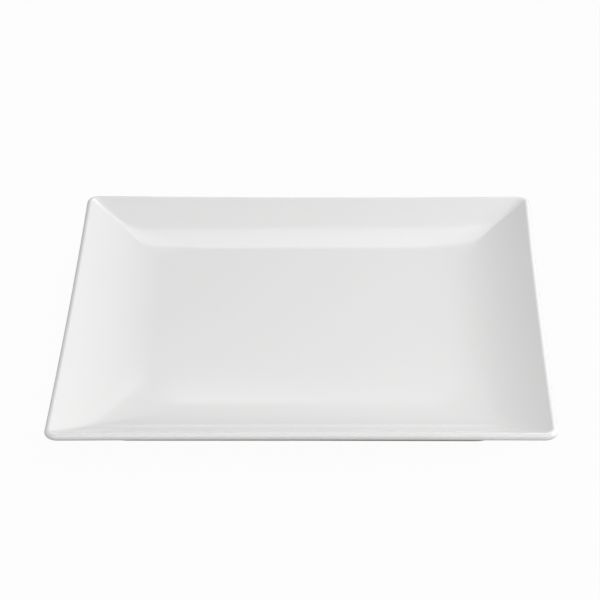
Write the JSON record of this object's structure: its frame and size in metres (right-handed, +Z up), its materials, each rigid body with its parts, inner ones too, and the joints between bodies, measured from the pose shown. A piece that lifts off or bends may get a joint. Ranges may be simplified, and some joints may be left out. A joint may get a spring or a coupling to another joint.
{
  "type": "square dinner plate",
  "caption": "Shallow square dinner plate with a rounded lip, curved walls that meet in mitred corners, and a square foot ring with a bare clay edge.",
  "frame": {"origin": "middle of the plate, at the level of the table under the foot ring", "axes": "+Z up out of the well; X and Y run along the sides, and -Y is the side nearest the camera in the picture"},
  "size_m": [0.26, 0.26, 0.0224],
  "materials": {
    "glaze": "glossy white glaze",
    "clay": "bare fired clay, smooth and matt"
  },
  "bodies": {
    "root": {"clay_body": "clay", "face_glaze": "glaze", "base_glaze": "glaze"}
  },
  "joints": []
}
